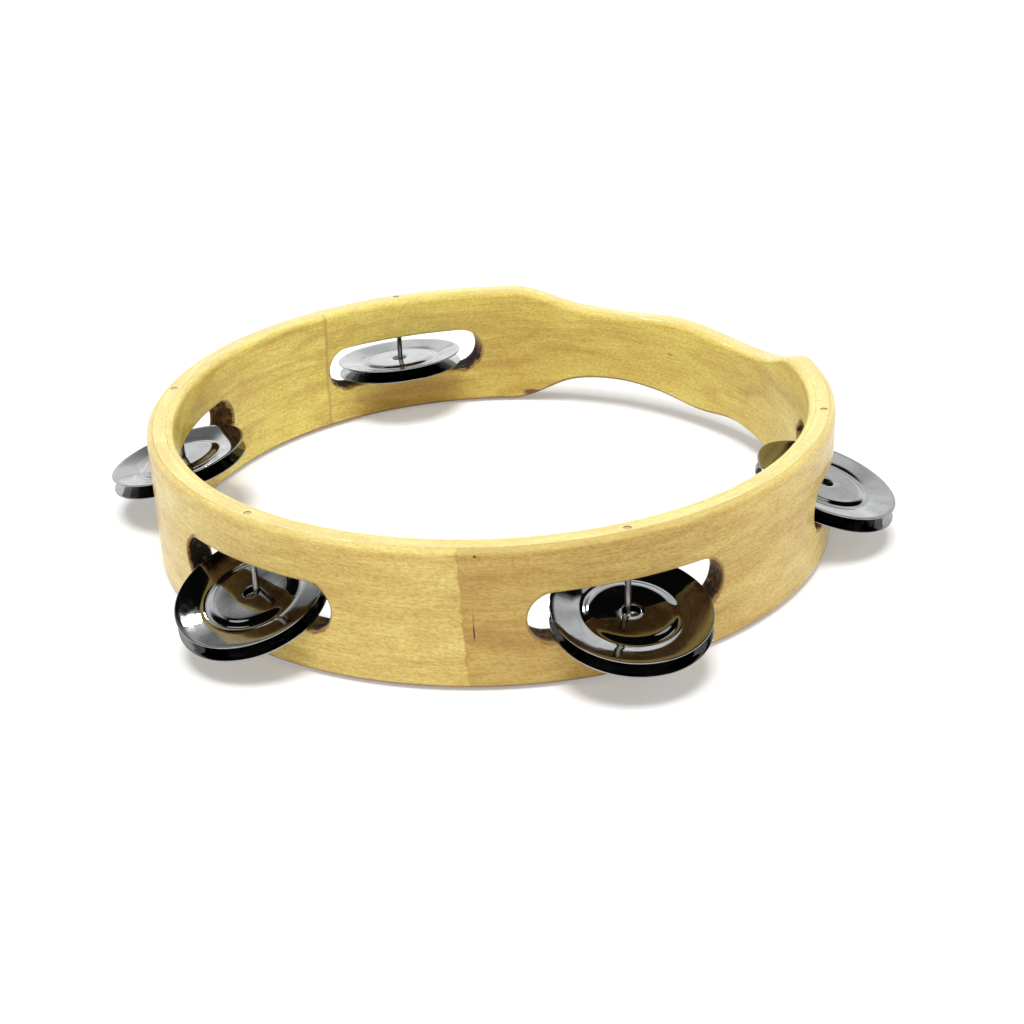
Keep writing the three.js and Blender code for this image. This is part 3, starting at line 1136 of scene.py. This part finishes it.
def outer_marks():
    """Marks on the outer ply: a hairline crack by the seam and a black speck on its upper edge."""
    return (
        (arc_from_seam(-93.9, OUTER_SEAM), 18.8, 0.42, 9.0, 0.65, BROWN),
        (arc_from_seam(-93.97, OUTER_SEAM), 16.8, 0.5, 5.2, 0.95, BLACK),
        (arc_from_seam(-93.0, OUTER_SEAM), 38.6, 1.0, 0.9, 0.9, BLACK),
    )


def inner_marks():
    """Marks on the inner ply: two small knots, a dark nick, and a brown patch of painted shadow
    where the grip's lower edge begins to rise.
    """
    return (
        (arc_from_seam(91.6, INNER_SEAM), 19.6, 2.2, 1.3, 0.8, BROWN),
        (arc_from_seam(49.0, INNER_SEAM), 23.2, 2.6, 1.2, 0.45, BROWN),
        (arc_from_seam(4.6, INNER_SEAM), 22.1, 1.2, 3.2, 1.0, BLACK),
        # Painted shadow: brown patch low on the wall where the grip's lower edge lifts off the
        # floor.
        (arc_from_seam(80.8, INNER_SEAM), 3.0, 8.0, 2.6, 1.0, BROWN),
    )


def inner_painted_shade():
    """Painted shade on the inner ply: the back pair's shadow below the back slot, and shade along
    the middle of the grip.
    """
    return (
        # Painted shadow of the back pair on the wall below its slot.
        (arc_from_seam(107.0, INNER_SEAM), 5.5, 62, 20, 0.90),
        # Painted shade along the middle of the grip.
        (arc_from_seam(84.0, INNER_SEAM), 18.0, 46, 44, 0.36),
        (arc_from_seam(62.0, INNER_SEAM), 20.0, 70, 30, 0.36),
        (arc_from_seam(30.0, INNER_SEAM), 18.0, 80, 34, 0.24),
    )


def make_hoop():
    scorched = scorched_wood()
    outer_wood = maple("maple_outer", FACE_TONES, outer_marks(), seam_tan=0.85)
    core_wood = maple("maple_core", CORE_TONES, depth=0.8)
    inner_wood = maple("maple_inner", INNER_TONES, inner_marks(), inner_painted_shade(), seam_line=0.45)
    half_glue = GLUE_WIDTH / 2
    outer = make_ply(
        "ply_outer", "frame_outer_ply", OUTER_GLUE + half_glue, HOOP_RADIUS,
        OUTER_SEAM, (outer_wood, scorched),
    )
    core = make_ply(
        "ply_core", "frame_core_ply", INNER_GLUE + half_glue, OUTER_GLUE - half_glue,
        CORE_SEAM, (core_wood, scorched),
    )
    inner = make_ply(
        "ply_inner", "frame_inner_ply", HOOP_INSIDE, INNER_GLUE - half_glue,
        INNER_SEAM, (inner_wood, scorched),
    )
    bore_nail_holes(core)
    for piece, seam in ((outer, OUTER_SEAM), (core, CORE_SEAM), (inner, INNER_SEAM)):
        lay_grain(piece.data, seam)
        even_normals(piece, 50)


def make_pairs():
    nail_finishes = (nail_metal(), head_metal())
    nickel = jingle_metal()
    for index, pair in enumerate(PAIRS):
        make_nail(pair, nail_finishes)
        make_jingle(pair, "lower", -1, DISC_DEPTH, 2 * index + 1, nickel)
        make_jingle(pair, "upper", 1, RIM_PITCH - DISC_DEPTH, 2 * index + 2, nickel)


make_hoop()
make_pairs()
make_floor()
make_world()
make_lights()
make_camera()
bpy.context.scene.view_settings.view_transform = "Standard"
